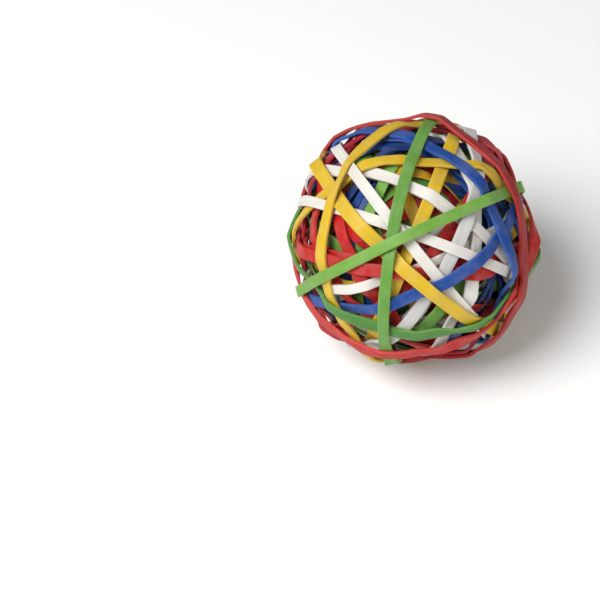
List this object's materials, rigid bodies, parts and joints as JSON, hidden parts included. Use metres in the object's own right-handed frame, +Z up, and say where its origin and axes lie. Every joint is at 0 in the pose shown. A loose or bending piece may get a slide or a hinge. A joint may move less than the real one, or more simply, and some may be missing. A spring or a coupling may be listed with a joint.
{
  "type": "rubber band ball",
  "caption": "Ball of coloured flat rubber bands stretched one over another in every direction, with open gaps between the outer bands, standing on a small pressed flat.",
  "frame": {"origin": "middle of the ball's outline seen from above, on the surface it stands on", "axes": "+Z up, -Y towards the face that the outer bands were laid out from, +X to that face's right"},
  "size_m": [0.0822, 0.0808, 0.0788],
  "materials": {
    "green_rubber": "matte",
    "yellow_rubber": "matte",
    "white_rubber": "matte",
    "blue_rubber": "matte",
    "red_rubber": "matte",
    "inner_rubber": "matte"
  },
  "bodies": {
    "root": {"inner_windings": "inner_rubber", "buried_blue_12": "blue_rubber", "buried_blue_17": "blue_rubber", "buried_blue_2": "blue_rubber", "buried_blue_7": "blue_rubber", "buried_green_1": "green_rubber", "buried_green_11": "green_rubber", "buried_green_16": "green_rubber", "buried_green_6": "green_rubber", "buried_red_14": "red_rubber", "buried_red_4": "red_rubber", "buried_red_9": "red_rubber", "buried_white_10": "white_rubber", "buried_white_15": "white_rubber", "buried_white_5": "white_rubber", "buried_yellow_13": "yellow_rubber", "buried_yellow_3": "yellow_rubber", "buried_yellow_8": "yellow_rubber", "blue_deep_left_band": "blue_rubber", "blue_low_diagonal_band": "blue_rubber", "blue_low_right_band": "blue_rubber", "blue_right_curve_band": "blue_rubber", "blue_top_far_band": "blue_rubber", "blue_top_middle_band": "blue_rubber", "blue_top_near_band": "blue_rubber", "blue_top_right_band": "blue_rubber", "green_deep_band": "green_rubber", "green_deep_left_band": "green_rubber", "green_diagonal_band": "green_rubber", "green_left_rim_band": "green_rubber", "green_low_arch_band": "green_rubber", "green_low_level_band": "green_rubber", "green_low_rise_band": "green_rubber", "green_upright_band": "green_rubber", "red_deep_band": "red_rubber", "red_left_inner_band": "red_rubber", "red_left_level_band": "red_rubber", "red_left_upright_band": "red_rubber", "red_level_band": "red_rubber", "red_low_rim_band": "red_rubber", "red_outer_rim_band": "red_rubber", "red_right_rim_band": "red_rubber", "red_right_slant_band": "red_rubber", "red_top_rim_band": "red_rubber", "red_upper_left_band": "red_rubber", "white_bottom_band": "white_rubber", "white_deep_rise_band": "white_rubber", "white_long_slant_band": "white_rubber", "white_low_short_band": "white_rubber", "white_middle_slant_band": "white_rubber", "white_right_curve_band": "white_rubber", "white_top_right_band": "white_rubber", "white_upper_slant_band": "white_rubber", "yellow_arch_band": "yellow_rubber", "yellow_deep_arc_band": "yellow_rubber", "yellow_deep_upright_band": "yellow_rubber", "yellow_diagonal_band": "yellow_rubber", "yellow_left_curve_band": "yellow_rubber", "yellow_right_band": "yellow_rubber", "yellow_steep_band": "yellow_rubber"}
  },
  "joints": []
}
